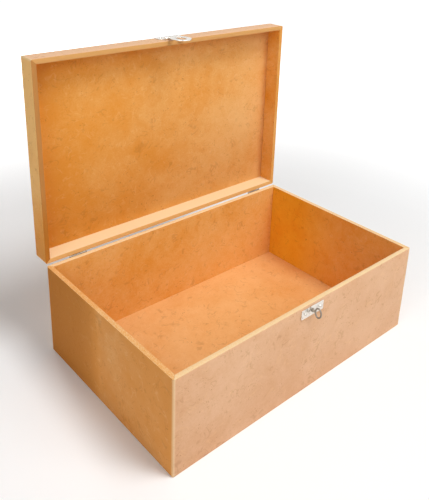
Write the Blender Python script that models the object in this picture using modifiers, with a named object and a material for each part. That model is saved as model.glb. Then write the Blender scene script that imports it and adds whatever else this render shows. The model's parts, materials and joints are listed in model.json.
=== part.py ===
"""A raw MDF box with a hinged lid, two stop hinges, and a hasp that drops over a turn ring.

The box stands on z = 0 with the middle of its base at the origin. Its long front faces -Y and the
hinges are at the back. The lid is modelled closed and stands open on its pivot. Lengths are metres.
"""

import math

import bmesh
import bpy
from mathutils import Matrix, Vector

# Box and lid
box_length = 0.400
box_depth = 0.257
body_height = 0.1235
lid_height = 0.0261
wall_thickness = 0.006
rail_thickness = 0.006
floor_thickness = 0.003
lid_panel_thickness = 0.003
rebate_depth = 0.003
corner_radius = 0.002
edge_radius = 0.0008
lid_gap = 0.0004
open_angle = math.radians(90.3)

# Gaps between pieces
board_gap = 0.0003
metal_gap = 0.0002
pin_clearance = 0.00015
knuckle_gap = 0.0003
cut_overrun = 0.002
merge_distance = 0.00001

# Stop hinges
hinge_width = 0.024
hinge_inset = 0.044
hinge_reach = 0.011
hinge_sheet = 0.0005
hinge_pin_radius = 0.0005
hinge_corner_radius = 0.0015
hinge_knuckles = 5
hinge_screw_inset = 0.005
stop_tongue_length = 0.0032

# Hasp on the lid
hasp_axis_above_rim = 0.008
hasp_plate_width = 0.038
hasp_plate_reach = 0.0155
hasp_sheet = 0.001
hasp_pin_radius = 0.0008
hasp_corner_radius = 0.0015
plate_knuckle_width = 0.007
flap_knuckle_width = 0.010
flap_neck_length = 0.003
flap_top_band = 0.0055
flap_side_band = 0.008
flap_tip_band = 0.006
slot_side_play = 0.00365
hasp_screw_inset = 0.006

# Staple with its turn ring
staple_below_rim = 0.0093
staple_plate_width = 0.038
staple_plate_height = 0.0125
staple_screw_inset = 0.006
ring_height = 0.014
ring_depth = 0.0102
ring_wire_radius = 0.001
stem_radius = 0.0016
rivet_radius = 0.0011
rivet_head_radius = 0.0022
rivet_head_height = 0.0006
collar_radius = 0.0024
collar_height = 0.0008

# Screws
screw_head_radius = 0.00175
screw_head_height = 0.0009
screw_rim_height = 0.0002
screw_shank_radius = 0.00075
screw_length = 0.0045
screw_tip_length = 0.001

# Counts of facets
corner_segments = 4
turned_steps = 20
roll_steps = 14
oval_points = 44
slot_points = 10
ring_points = 32

# Places worked out from the sizes above
half_length = box_length / 2
half_depth = box_depth / 2
lid_bottom = body_height + lid_gap
lid_top = lid_bottom + lid_height

hinge_bore_radius = hinge_pin_radius + pin_clearance
hinge_barrel_radius = hinge_bore_radius + hinge_sheet
hinge_axis_y = half_depth + metal_gap + hinge_barrel_radius
hinge_axis_z = body_height + lid_gap / 2

hasp_bore_radius = hasp_pin_radius + pin_clearance
hasp_barrel_radius = hasp_bore_radius + hasp_sheet
hasp_axis_y = -half_depth - metal_gap - hasp_barrel_radius
hasp_axis_z = lid_bottom + hasp_axis_above_rim

staple_z = body_height - staple_below_rim
staple_plate_face = metal_gap + hasp_sheet
flap_front = metal_gap + 2 * hasp_barrel_radius
ring_start = flap_front + board_gap
ring_centre = ring_start + ring_depth / 2

pilot_radius = screw_shank_radius + metal_gap
rivet_hole_radius = rivet_radius + metal_gap
rivet_pocket_radius = rivet_head_radius + metal_gap
rivet_pocket_depth = rivet_head_height + metal_gap

slot_half_width = max(stem_radius, ring_wire_radius) + slot_side_play
slot_start = flap_neck_length + flap_top_band
flap_half_width = slot_half_width + flap_side_band


def ring_reach_from_hasp_pin():
    """Returns the farthest distance of the upright ring from the hasp's pin."""
    reach = 0.0
    for step in range(ring_points):
        turn = 2 * math.pi * step / ring_points
        out = ring_centre + ring_depth / 2 * math.cos(turn)
        down = hasp_axis_z - staple_z + ring_height / 2 * math.sin(turn)
        reach = max(reach, math.hypot(out + half_depth + hasp_axis_y, down))
    return reach


slot_end = ring_reach_from_hasp_pin() + 2 * metal_gap
flap_length = slot_end + flap_tip_band


def make_material(name, colour, roughness, metallic):
    material = bpy.data.materials.new(name)
    material.use_nodes = True
    shader = material.node_tree.nodes["Principled BSDF"]
    shader.inputs["Base Color"].default_value = (*colour, 1.0)
    shader.inputs["Roughness"].default_value = roughness
    shader.inputs["Metallic"].default_value = metallic
    return material


def make_collection(name):
    collection = bpy.data.collections.new(name)
    bpy.context.scene.collection.children.link(collection)
    return collection


def add_pivot(name, place, parent=None):
    """Adds an empty on a joint's axis, given where it is with the lid closed."""
    pivot = bpy.data.objects.new(name, None)
    pivot.empty_display_size = corner_radius
    part_collection.objects.link(pivot)
    if parent is None:
        pivot.location = place
    else:
        pivot.parent = parent
        pivot.location = Vector(place) - closed_places[parent.name]
    closed_places[name] = Vector(place)
    return pivot


def hang_on(item, pivot):
    """Parents an object, whose mesh is placed as with the lid closed, to a pivot."""
    if pivot is not None:
        item.parent = pivot
        item.matrix_parent_inverse = Matrix.Translation(-closed_places[pivot.name])


def add_part(name, mesh, material, pivot=None):
    part = bpy.data.objects.new(name, mesh)
    part_collection.objects.link(part)
    if not mesh.materials:
        mesh.materials.append(material)
    hang_on(part, pivot)
    return part


def add_cutter(name, mesh, pivot=None):
    cutter = bpy.data.objects.new(name, mesh)
    cutter_collection.objects.link(cutter)
    cutter.display_type = "WIRE"
    cutter.hide_render = True
    hang_on(cutter, pivot)
    return cutter


def combine(part, other, operation):
    """Adds a Boolean modifier that cuts another object from a part, or joins it to the part."""
    modifier = part.modifiers.new(other.name, "BOOLEAN")
    modifier.object = other
    modifier.operation = operation
    modifier.solver = "EXACT"


def finish_mesh(name, bm):
    bmesh.ops.recalc_face_normals(bm, faces=bm.faces)
    mesh = bpy.data.meshes.new(name)
    bm.to_mesh(mesh)
    bm.free()
    return mesh


def block_mesh(name, low, high):
    """A rectangular block between two opposite corners."""
    bm = bmesh.new()
    bmesh.ops.create_cube(bm, size=1.0)
    size = Vector(high) - Vector(low)
    bmesh.ops.scale(bm, vec=size, verts=bm.verts)
    bmesh.ops.translate(bm, vec=(Vector(high) + Vector(low)) / 2, verts=bm.verts)
    return finish_mesh(name, bm)


def rod_mesh(name, radius, places, start, end):
    """Round rods along Y, one at each (x, z) place, from y = start to y = end."""
    bm = bmesh.new()
    for x, z in places:
        turn = Matrix.Rotation(math.radians(90), 4, "X")
        shift = Matrix.Translation((x, (start + end) / 2, z))
        bmesh.ops.create_cone(
            bm, cap_ends=True, segments=turned_steps, radius1=radius, radius2=radius,
            depth=abs(end - start), matrix=shift @ turn)
    return finish_mesh(name, bm)


def prism_mesh(name, outline, low, high):
    """An upright prism on an (x, y) outline."""
    bm = bmesh.new()
    floor_verts = [bm.verts.new((x, y, low)) for x, y in outline]
    face = bm.faces.new(floor_verts)
    raised = bmesh.ops.extrude_face_region(bm, geom=[face])["geom"]
    top_verts = [item for item in raised if isinstance(item, bmesh.types.BMVert)]
    bmesh.ops.translate(bm, vec=(0, 0, high - low), verts=top_verts)
    return finish_mesh(name, bm)


def turned_object(name, profile, material):
    """A round piece turned about its own Z axis from an (r, z) profile that runs top to bottom."""
    bm = bmesh.new()
    verts = [bm.verts.new((radius, 0, height)) for radius, height in profile]
    for upper, lower in zip(verts, verts[1:]):
        bm.edges.new((upper, lower))
    mesh = bpy.data.meshes.new(name)
    bm.to_mesh(mesh)
    bm.free()
    part = add_part(name, mesh, material)
    add_turn(part)
    return part


def add_turn(part):
    """Adds the Screw modifier that turns a profile through a full circle."""
    modifier = part.modifiers.new("turn", "SCREW")
    modifier.steps = turned_steps
    modifier.render_steps = turned_steps
    modifier.use_merge_vertices = True
    modifier.merge_threshold = merge_distance
    modifier.use_smooth_shade = True


def dome_profile(radius, height, base):
    """Points of a domed head from its crown down to its rim."""
    return [
        (radius * math.sin(math.radians(angle)), base + height * math.cos(math.radians(angle)))
        for angle in (0, 22.5, 45, 67.5, 90)
    ]


# Mitred trays of boards

def board_outline(along, across, thickness):
    """The plan of a tray's front board, with its share of the rounded corners and its mitres."""
    inset = board_gap / 2
    sweep = math.radians(45) - math.asin(inset / corner_radius)
    right = []
    for step in range(corner_segments + 1):
        turn = sweep * step / corner_segments
        out = corner_radius * (1 - math.cos(turn))
        right.append((along - corner_radius + corner_radius * math.sin(turn), out - across))
    right.append((along - thickness - inset * math.sqrt(2), thickness - across))
    left = [(-x, y) for x, y in reversed(right)]
    return right + left


def board_mesh(name, side, low, high, thickness, eased_z):
    """One mitred board of a tray. Its outer edge at the height eased_z is marked for easing."""
    long_side = side in ("front", "back")
    along = half_length if long_side else half_depth
    across = half_depth if long_side else half_length
    mesh = prism_mesh(name, board_outline(along, across, thickness), low, high)
    bm = bmesh.new()
    bm.from_mesh(mesh)
    weight = bm.edges.layers.float.new("bevel_weight_edge")
    for edge in bm.edges:
        level = all(abs(vert.co.z - eased_z) < edge_radius for vert in edge.verts)
        outer = all(vert.co.y < corner_radius - across for vert in edge.verts)
        edge[weight] = float(level and outer)
    bm.to_mesh(mesh)
    bm.free()
    turn = {"front": 0, "right": 90, "back": 180, "left": 270}[side]
    mesh.transform(Matrix.Rotation(math.radians(turn), 4, "Z"))
    return mesh


def make_tray(prefix, names, low, high, thickness, panel_low, panel_high, pivot):
    """Four mitred boards and the panel that their rebate holds. Returns the boards by side."""
    at_foot = panel_low <= low
    eased_z = low if at_foot else high
    panel_inset = thickness - rebate_depth
    seat_low = low - cut_overrun if at_foot else panel_low - board_gap
    seat_high = panel_high + board_gap if at_foot else high + cut_overrun
    seat_name = prefix + "_rebate_cutter"
    seat_mesh = block_mesh(
        seat_name,
        (-half_length + panel_inset, -half_depth + panel_inset, seat_low),
        (half_length - panel_inset, half_depth - panel_inset, seat_high))
    seat = add_cutter(seat_name, seat_mesh, pivot)
    boards = {}
    for side, name in names.items():
        mesh = board_mesh(name, side, low, high, thickness, eased_z)
        board = add_part(name, mesh, mdf, pivot)
        easing = board.modifiers.new("eased edge", "BEVEL")
        easing.limit_method = "WEIGHT"
        easing.width = edge_radius
        easing.segments = corner_segments
        combine(board, seat, "DIFFERENCE")
        boards[side] = board
    edge_inset = panel_inset + board_gap
    panel_name = prefix + "_panel"
    panel = block_mesh(
        panel_name,
        (-half_length + edge_inset, -half_depth + edge_inset, panel_low),
        (half_length - edge_inset, half_depth - edge_inset, panel_high))
    add_part(panel_name, panel, mdf, pivot)
    return boards


# Rolled sheet metal

def roll_path(bore_radius, sheet, sweep):
    """The middle line of a rolled knuckle, as (side, up) points about its pin's axis.

    It starts beside the pin, on the plate's side, and runs down and round by the given sweep.
    """
    middle = bore_radius + sheet / 2
    return [
        (-middle * math.cos(sweep * step / roll_steps), -middle * math.sin(sweep * step / roll_steps))
        for step in range(roll_steps + 1)
    ]


def closed_roll(bore_radius, sheet):
    """A knuckle that closes to a narrow slit at its own plate."""
    slit = (bore_radius - metal_gap) / (bore_radius + sheet)
    return roll_path(bore_radius, sheet, math.radians(270) + math.asin(slit))


def stop_roll(bore_radius, sheet, length):
    """A knuckle that leaves the pin as a level tongue, on which the open lid's leaf rests."""
    middle = bore_radius + sheet / 2
    tongue_drop = bore_radius - metal_gap - sheet / 2
    sweep = math.radians(180) - math.asin(tongue_drop / middle)
    path = roll_path(bore_radius, sheet, sweep)
    side, up = path[-1]
    path.append((side + length, up))
    return path


def extend_edges(bm, edges, points):
    """Extrudes edges along X through points given as (y, z), and returns the last ones."""
    for y, z in points:
        made = bmesh.ops.extrude_edge_only(bm, edges=edges)["geom"]
        verts = [item for item in made if isinstance(item, bmesh.types.BMVert)]
        for vert in verts:
            vert.co.y = y
            vert.co.z = z
        edges = [
            item for item in made
            if isinstance(item, bmesh.types.BMEdge) and all(end in verts for end in item.verts)
        ]
    return edges


def rolled_plate_mesh(name, centre, stations, rolls, reach, root, middle, side, up):
    """The middle surface of a plate with knuckles.

    centre is the pin's middle. stations are the x places where strips of the plate begin and end,
    and rolls gives each strip's path or None. The plate lies on the given side of the pin (-1 or 1
    along Y) and reaches up or down from it (1 or -1 along Z).
    """
    bm = bmesh.new()
    y0 = centre[1] + side * middle
    far_z = centre[2] + up * reach
    root_z = centre[2] + up * root
    verts = [bm.verts.new((centre[0] + x, y0, far_z)) for x in stations]
    edges = [bm.edges.new(pair) for pair in zip(verts, verts[1:])]
    extend_edges(bm, edges, [(y0, root_z)])
    for strip, path in enumerate(rolls):
        if path is None:
            continue
        low_x = centre[0] + stations[strip]
        high_x = centre[0] + stations[strip + 1]
        middle_x = (low_x + high_x) / 2
        root_edge = [
            edge for edge in bm.edges
            if abs(edge.verts[0].co.z - root_z) + abs(edge.verts[1].co.z - root_z) < metal_gap
            and abs((edge.verts[0].co.x + edge.verts[1].co.x) / 2 - middle_x) < metal_gap
        ]
        points = [(centre[1] - side * across, centre[2] + up * along) for across, along in path]
        extend_edges(bm, root_edge, points)
    mesh = bpy.data.meshes.new(name)
    bm.to_mesh(mesh)
    bm.free()
    return mesh


def round_corners(part, corners, radius):
    """Rounds the corners of a middle surface at the vertices with the given numbers."""
    group = part.vertex_groups.new(name="plate corners")
    group.add(corners, 1.0, "REPLACE")
    rounding = part.modifiers.new("rounded corners", "BEVEL")
    rounding.affect = "VERTICES"
    rounding.limit_method = "VGROUP"
    rounding.vertex_group = group.name
    rounding.width = radius
    rounding.segments = corner_segments


def add_sheet(part, sheet):
    """Thickens a middle surface to both sides."""
    thicken = part.modifiers.new("sheet thickness", "SOLIDIFY")
    thicken.thickness = sheet
    thicken.offset = 0.0
    thicken.use_even_offset = True


def knuckle_stations(first):
    """Where a hinge leaf's strips begin and end along X. first tells whether knuckle 0 is its own."""
    pitch = hinge_width / hinge_knuckles
    shift = -knuckle_gap / 2 if first else knuckle_gap / 2
    stations = [-hinge_width / 2]
    for joint in range(1, hinge_knuckles):
        stations.append(-hinge_width / 2 + joint * pitch + shift)
        shift = -shift
    stations.append(hinge_width / 2)
    return stations


# Screws and pins

def screw_profile():
    """A small round-head screw whose head sits just above z = 0."""
    profile = dome_profile(screw_head_radius, screw_head_height, metal_gap + screw_rim_height)
    profile.append((screw_head_radius, metal_gap))
    profile.append((screw_shank_radius, metal_gap))
    profile.append((screw_shank_radius, screw_tip_length - screw_length))
    profile.append((0, -screw_length))
    return profile


def screw_pair(centre_x, plate_width, inset):
    """The x places of two screws, each at the same distance from its end of a plate."""
    return centre_x - plate_width / 2 + inset, centre_x + plate_width / 2 - inset


def add_screws(name, places, y, outward, pivot=None):
    """Screws at (x, z) places whose heads sit on the face y and look along Y by sign outward."""
    for number, (x, z) in enumerate(places, start=1):
        screw = turned_object(f"{name}_screw_{number}", screw_profile(), nickel)
        screw.location = (x, y, z)
        screw.rotation_euler = (math.radians(-90) * outward, 0, 0)
        hang_on(screw, pivot)


def add_pin(name, centre, radius, length, pivot=None):
    """A pin along X with bevelled ends."""
    bevel = radius / 4
    profile = [
        (0, length / 2),
        (radius - bevel, length / 2),
        (radius, length / 2 - bevel),
        (radius, bevel - length / 2),
        (radius - bevel, -length / 2),
        (0, -length / 2),
    ]
    pin = turned_object(name, profile, nickel)
    pin.location = centre
    pin.rotation_euler = (0, math.radians(90), 0)
    hang_on(pin, pivot)
    return pin


# Hinges

def make_hinge(tag, centre_x, walls):
    """One stop hinge: a leaf on the back wall, a leaf on the lid's back rail, and a pin."""
    centre = (centre_x, hinge_axis_y, hinge_axis_z)
    middle = hinge_bore_radius + hinge_sheet / 2
    root = hinge_barrel_radius + knuckle_gap
    full = closed_roll(hinge_bore_radius, hinge_sheet)
    stop = stop_roll(hinge_bore_radius, hinge_sheet, stop_tongue_length)
    screw_z = (root + hinge_reach) / 2
    screw_x = screw_pair(centre_x, hinge_width, hinge_screw_inset)
    leaf_face = half_depth + metal_gap + hinge_sheet
    for owner, pivot, up in (("box", None, -1), ("lid", lid_pivot, 1)):
        own_first = owner == "box"
        rolls = [None] * hinge_knuckles
        for knuckle in range(hinge_knuckles):
            if (knuckle % 2 == 0) == own_first:
                rolls[knuckle] = full
        if own_first:
            rolls[hinge_knuckles // 2] = stop
        name = f"hinge_{owner}_leaf_{tag}"
        stations = knuckle_stations(own_first)
        mesh = rolled_plate_mesh(
            name, centre, stations, rolls, hinge_reach, root, middle, -1, up)
        leaf = add_part(name, mesh, nickel, pivot)
        round_corners(leaf, (0, len(stations) - 1), hinge_corner_radius)
        add_sheet(leaf, hinge_sheet)
        places = [(x, hinge_axis_z + up * screw_z) for x in screw_x]
        pilot = add_cutter(
            name + "_pilot_cutter",
            rod_mesh(
                name + "_pilot_cutter", pilot_radius, places,
                leaf_face + cut_overrun, leaf_face - screw_length - metal_gap),
            pivot)
        combine(leaf, pilot, "DIFFERENCE")
        combine(walls[owner], pilot, "DIFFERENCE")
        add_screws(f"hinge_{owner}_{tag}", places, leaf_face, 1, pivot)
    add_pin(f"hinge_pin_{tag}", centre, hinge_pin_radius, hinge_width)


# Hasp

def make_hasp_plate(rail):
    """The hasp's plate on the lid's front rail, with two knuckles that flank the flap's."""
    centre = (0, hasp_axis_y, hasp_axis_z)
    middle = hasp_bore_radius + hasp_sheet / 2
    root = hasp_barrel_radius + knuckle_gap
    inner = flap_knuckle_width / 2 + knuckle_gap
    outer = inner + plate_knuckle_width
    edge = hasp_plate_width / 2
    roll = closed_roll(hasp_bore_radius, hasp_sheet)
    stations = [-edge, -outer, -inner, inner, outer, edge]
    mesh = rolled_plate_mesh(
        "hasp_plate", centre, stations, [None, roll, None, roll, None],
        hasp_plate_reach, root, middle, 1, 1)
    plate = add_part("hasp_plate", mesh, nickel, lid_pivot)
    round_corners(plate, (0, len(stations) - 1), hasp_corner_radius)
    add_sheet(plate, hasp_sheet)
    screw_z = hasp_axis_z + (root + hasp_plate_reach) / 2
    places = [(x, screw_z) for x in screw_pair(0, hasp_plate_width, hasp_screw_inset)]
    plate_face = -half_depth - metal_gap - hasp_sheet
    pilot = add_cutter(
        "hasp_pilot_cutter",
        rod_mesh(
            "hasp_pilot_cutter", pilot_radius, places,
            plate_face - cut_overrun, plate_face + screw_length + metal_gap),
        lid_pivot)
    combine(plate, pilot, "DIFFERENCE")
    combine(rail, pilot, "DIFFERENCE")
    add_screws("hasp", places, plate_face, -1, lid_pivot)
    add_pin("hasp_pin", centre, hasp_pin_radius, 2 * outer, lid_pivot)


def slot_outline():
    """The flap's long slot, as (x, distance from the pin) points."""
    upper = slot_start + slot_half_width
    lower = slot_end - slot_half_width
    outline = []
    for step in range(slot_points + 1):
        turn = math.pi * step / slot_points
        outline.append((slot_half_width * math.cos(turn), lower + slot_half_width * math.sin(turn)))
    for step in range(slot_points + 1):
        turn = math.pi * step / slot_points
        outline.append((-slot_half_width * math.cos(turn), upper - slot_half_width * math.sin(turn)))
    return outline


def make_flap():
    """The slotted flap: an oval of sheet that narrows to a neck and rolls round the hasp's pin."""
    y = hasp_axis_y - hasp_bore_radius - hasp_sheet / 2
    neck = flap_knuckle_width / 2
    start = math.asin(neck / flap_half_width)
    half_oval = (flap_length - flap_neck_length) / (1 + math.cos(start))
    oval_centre = flap_length - half_oval
    bm = bmesh.new()
    verts = []
    for step in range(oval_points + 1):
        turn = start + (2 * math.pi - 2 * start) * step / oval_points
        drop = oval_centre - half_oval * math.cos(turn)
        verts.append(bm.verts.new((flap_half_width * math.sin(turn), y, hasp_axis_z - drop)))
    bm.faces.new(verts)
    neck_edge = [edge for edge in bm.edges if verts[0] in edge.verts and verts[-1] in edge.verts]
    roll = closed_roll(hasp_bore_radius, hasp_sheet)
    extend_edges(bm, neck_edge, [(hasp_axis_y + side, hasp_axis_z - up) for side, up in roll])
    mesh = bpy.data.meshes.new("hasp_flap")
    bm.to_mesh(mesh)
    bm.free()
    flap = add_part("hasp_flap", mesh, nickel, hasp_pivot)
    add_sheet(flap, hasp_sheet)
    slot_mesh = prism_mesh("flap_slot_cutter", slot_outline(), -cut_overrun, cut_overrun)
    slot_mesh.transform(
        Matrix.Translation((0, y, hasp_axis_z)) @ Matrix.Rotation(math.radians(-90), 4, "X"))
    slot = add_cutter("flap_slot_cutter", slot_mesh, hasp_pivot)
    combine(flap, slot, "DIFFERENCE")


# Staple

def make_staple_plate(wall):
    """The flat plate on the front wall, with two screws and the hole for the ring's rivet."""
    low = (-staple_plate_width / 2, -half_depth - staple_plate_face, staple_z - staple_plate_height / 2)
    high = (staple_plate_width / 2, -half_depth - metal_gap, staple_z + staple_plate_height / 2)
    plate = add_part("staple_plate", block_mesh("staple_plate", low, high), nickel)
    weight = plate.data.attributes.new("bevel_weight_edge", "FLOAT", "EDGE")
    for edge in plate.data.edges:
        ends = [plate.data.vertices[index].co for index in edge.vertices]
        weight.data[edge.index].value = float(abs(ends[0].y - ends[1].y) > hasp_sheet / 2)
    rounding = plate.modifiers.new("rounded corners", "BEVEL")
    rounding.limit_method = "WEIGHT"
    rounding.width = hasp_corner_radius
    rounding.segments = corner_segments
    face = -half_depth - staple_plate_face
    places = [(x, staple_z) for x in screw_pair(0, staple_plate_width, staple_screw_inset)]
    pilot = add_cutter(
        "staple_pilot_cutter",
        rod_mesh(
            "staple_pilot_cutter", pilot_radius, places,
            face - cut_overrun, face + screw_length + metal_gap))
    rivet_hole = add_cutter(
        "rivet_hole_cutter",
        rod_mesh(
            "rivet_hole_cutter", rivet_hole_radius, [(0, staple_z)],
            face - cut_overrun, -half_depth + rivet_pocket_depth / 2))
    pocket = add_cutter(
        "rivet_pocket_cutter",
        rod_mesh(
            "rivet_pocket_cutter", rivet_pocket_radius, [(0, staple_z)],
            -half_depth - cut_overrun, -half_depth + rivet_pocket_depth))
    combine(plate, pilot, "DIFFERENCE")
    combine(plate, rivet_hole, "DIFFERENCE")
    combine(wall, pilot, "DIFFERENCE")
    combine(wall, pocket, "DIFFERENCE")
    add_screws("staple", places, face, -1)


def make_turn_ring():
    """The oval ring on its stem, riveted through the staple plate so that it turns."""
    wire_y = ring_depth / 2 - ring_wire_radius
    wire_z = ring_height / 2 - ring_wire_radius
    curve = bpy.data.curves.new("turn_ring_wire", "CURVE")
    curve.dimensions = "3D"
    curve.bevel_depth = ring_wire_radius
    curve.bevel_resolution = 2
    spline = curve.splines.new("POLY")
    spline.points.add(ring_points - 1)
    for step, point in enumerate(spline.points):
        turn = 2 * math.pi * step / ring_points
        point.co = (0, -ring_centre + wire_y * math.cos(turn), wire_z * math.sin(turn), 1)
    spline.use_cyclic_u = True
    wire = bpy.data.objects.new("turn_ring_wire", curve)
    cutter_collection.objects.link(wire)
    bpy.context.view_layer.update()
    wire_mesh = bpy.data.meshes.new_from_object(
        wire.evaluated_get(bpy.context.evaluated_depsgraph_get()))
    bpy.data.objects.remove(wire)
    wire_mesh.name = "turn_ring"
    wire_mesh.materials.clear()
    wire_mesh.shade_smooth()
    ring = add_part("turn_ring", wire_mesh, nickel)
    ring.location = (0, -half_depth, staple_z)
    collar_start = staple_plate_face + metal_gap
    collar_end = collar_start + collar_height
    profile = [
        (0, ring_start + ring_wire_radius),
        (stem_radius, ring_start + ring_wire_radius),
        (stem_radius, collar_end),
        (collar_radius, collar_end),
        (collar_radius, collar_start),
        (rivet_radius, collar_start),
        (rivet_radius, 0),
        (rivet_head_radius, 0),
        (rivet_head_radius, -rivet_head_height),
        (0, -rivet_head_height),
    ]
    stem = turned_object("turn_ring_stem", profile, nickel)
    part_collection.objects.unlink(stem)
    cutter_collection.objects.link(stem)
    stem.display_type = "WIRE"
    stem.hide_render = True
    stem.location = (0, -half_depth, staple_z)
    stem.rotation_euler = (math.radians(90), 0, 0)
    combine(ring, stem, "UNION")


for leftover in list(bpy.data.objects):
    bpy.data.objects.remove(leftover, do_unlink=True)

part_collection = make_collection("mdf_box")
cutter_collection = make_collection("cutters")
closed_places = {}

mdf = make_material("raw MDF", (0.72, 0.47, 0.27), 0.8, 0.0)
nickel = make_material("nickel plate", (0.74, 0.72, 0.68), 0.28, 1.0)

lid_pivot = add_pivot("lid_pivot", (0, hinge_axis_y, hinge_axis_z))
hasp_pivot = add_pivot("hasp_pivot", (0, hasp_axis_y, hasp_axis_z), lid_pivot)

body_boards = make_tray(
    "floor",
    {"front": "front_wall", "right": "right_wall", "back": "back_wall", "left": "left_wall"},
    0, body_height, wall_thickness, 0, floor_thickness, None)
lid_boards = make_tray(
    "lid",
    {"front": "lid_front_rail", "right": "lid_right_rail",
     "back": "lid_back_rail", "left": "lid_left_rail"},
    lid_bottom, lid_top, rail_thickness, lid_top - lid_panel_thickness, lid_top, lid_pivot)

hinge_walls = {"box": body_boards["back"], "lid": lid_boards["back"]}
make_hinge("left", hinge_inset - half_length, hinge_walls)
make_hinge("right", half_length - hinge_inset, hinge_walls)

make_hasp_plate(lid_boards["front"])
make_flap()
make_staple_plate(body_boards["front"])
make_turn_ring()

# The lid stands open on the stops of its hinges.
lid_pivot.rotation_euler = (-open_angle, 0, 0)
bpy.context.view_layer.update()
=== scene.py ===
"""The looks of a raw MDF box with a hinged lid, stop hinges, a slotted hasp and a turn ring.

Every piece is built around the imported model, in its frame: metres, z up, the front towards -Y.
Pieces of the lid are shaped as with the lid closed, and then turned open about the hinge pins.
"""

import json
import math

import bmesh
import bpy
from mathutils import Matrix, Vector


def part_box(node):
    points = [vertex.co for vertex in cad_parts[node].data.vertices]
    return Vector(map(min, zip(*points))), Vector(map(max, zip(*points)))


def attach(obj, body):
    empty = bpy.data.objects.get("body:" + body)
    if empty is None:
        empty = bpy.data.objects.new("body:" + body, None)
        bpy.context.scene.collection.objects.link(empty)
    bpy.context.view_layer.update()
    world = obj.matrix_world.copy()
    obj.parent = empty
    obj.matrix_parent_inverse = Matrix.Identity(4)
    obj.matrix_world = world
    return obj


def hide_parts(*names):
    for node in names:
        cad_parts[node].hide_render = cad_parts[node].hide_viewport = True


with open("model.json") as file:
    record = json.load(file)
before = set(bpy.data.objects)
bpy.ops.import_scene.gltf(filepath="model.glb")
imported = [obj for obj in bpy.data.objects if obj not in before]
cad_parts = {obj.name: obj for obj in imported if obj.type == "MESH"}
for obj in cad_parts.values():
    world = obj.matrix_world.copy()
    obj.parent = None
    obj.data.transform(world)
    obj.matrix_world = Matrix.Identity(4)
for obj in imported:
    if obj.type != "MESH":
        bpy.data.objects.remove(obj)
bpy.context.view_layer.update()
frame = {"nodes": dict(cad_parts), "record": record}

bl_info = {
    "name": "Hinged MDF box",
    "version": (1, 0, 0),
    "blender": (4, 5, 0),
    "location": "3D View > Sidebar > MDF box",
    "description": "Builds the boards, the hinges, the hasp and the screws of a raw MDF box",
    "category": "Object",
}

# Points nearer to each other than this are one point
tiny = 0.000001

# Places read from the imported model
joints = {joint["name"]: joint for joint in frame["record"]["behaviour"]["joints"]}
hinge_axis = Vector(joints["lid_hinge"]["pos_m"])
open_angle = math.radians(joints["lid_hinge"]["range_deg"][1])
opened = (
    Matrix.Translation(hinge_axis)
    @ Matrix.Rotation(-open_angle, 4, "X")
    @ Matrix.Translation(-hinge_axis)
)
closed = opened.inverted()


def closed_box(name):
    """The lowest and highest corners of a lid node when the lid is shut."""
    axes = list(zip(*[closed @ vert.co for vert in frame["nodes"][name].data.vertices]))
    return Vector([min(axis) for axis in axes]), Vector([max(axis) for axis in axes])


wall_low, wall_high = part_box("front_wall")
floor_low, floor_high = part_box("floor_panel")
rail_low, rail_high = closed_box("lid_front_rail")
panel_low, panel_high = closed_box("lid_panel")
hasp_axis = closed @ Vector(joints["hasp_hinge"]["pos_m"])
ring_axis = Vector(joints["ring_turn"]["pos_m"])
half_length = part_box("right_wall")[1][0] - tiny
half_depth = -wall_low[1]


# Sizes and colours that a user would change

def length(description, default):
    return bpy.props.FloatProperty(
        description=description, default=default, min=0.0, precision=5, unit="LENGTH",
        subtype="DISTANCE")


def colour(description, default):
    return bpy.props.FloatVectorProperty(
        description=description, default=default, min=0.0, max=1.0, size=3, subtype="COLOR")


def share(description, default, highest=1.0):
    return bpy.props.FloatProperty(
        description=description, default=default, min=0.0, max=highest, subtype="FACTOR")


def power(description, default):
    return bpy.props.FloatProperty(
        description=description, default=default, min=0.0, subtype="POWER")


def label_of(name):
    """A setting's label: corner_radius becomes Corner radius."""
    return name.replace("_", " ").capitalize()


def named(group):
    """Gives each setting of a group its label as its name."""
    for entry, setting in group.__annotations__.items():
        setting.keywords["name"] = label_of(entry)
    return group


@named
class BoardSizes(bpy.types.PropertyGroup):
    corner_radius: length("Rounding of the tray's upright corners", 0.002)
    rim_easing: length("Rounding of the edges of the rims", 0.0004)
    face_easing: length("Rounding of the outer edges at the base and the top", 0.0008)
    mitre_gap: length("Gap between two boards at a mitre", 0.00004)
    rebate_depth: length("How far the panels reach into the boards", 0.003)
    panel_gap: length("Gap between a panel and its rebate", 0.00008)
    panel_easing: length("Rounding of the panels' edges", 0.0002)


@named
class BoardFinish(bpy.types.PropertyGroup):
    sanded_deep: colour("Darker clouds of a sanded face", (0.62, 0.305, 0.14))
    sanded_pale: colour("Lighter clouds of a sanded face", (0.78, 0.485, 0.295))
    raw_deep: colour("Darker clouds of a pressed face", (0.74, 0.27, 0.006))
    raw_pale: colour("Lighter clouds of a pressed face", (0.88, 0.508, 0.18))
    fleck: colour("Colour of the short dark fibres", (0.36, 0.12, 0.015))
    wisp: colour("Colour of the pale curly fibres", (0.90, 0.58, 0.29))
    edge: colour("Colour of the sawn and sanded rims", (0.86, 0.64, 0.37))
    cloud_share: share("How strongly the clouds differ", 0.9, 3.0)
    fleck_share: share("How strongly the dark fibres show", 0.5)
    wisp_share: share("How strongly the pale fibres show", 0.18)
    roughness: share("Roughness of the sanded face", 0.72)
    bump: length("Height of the fibres on the face", 0.00012)


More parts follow.
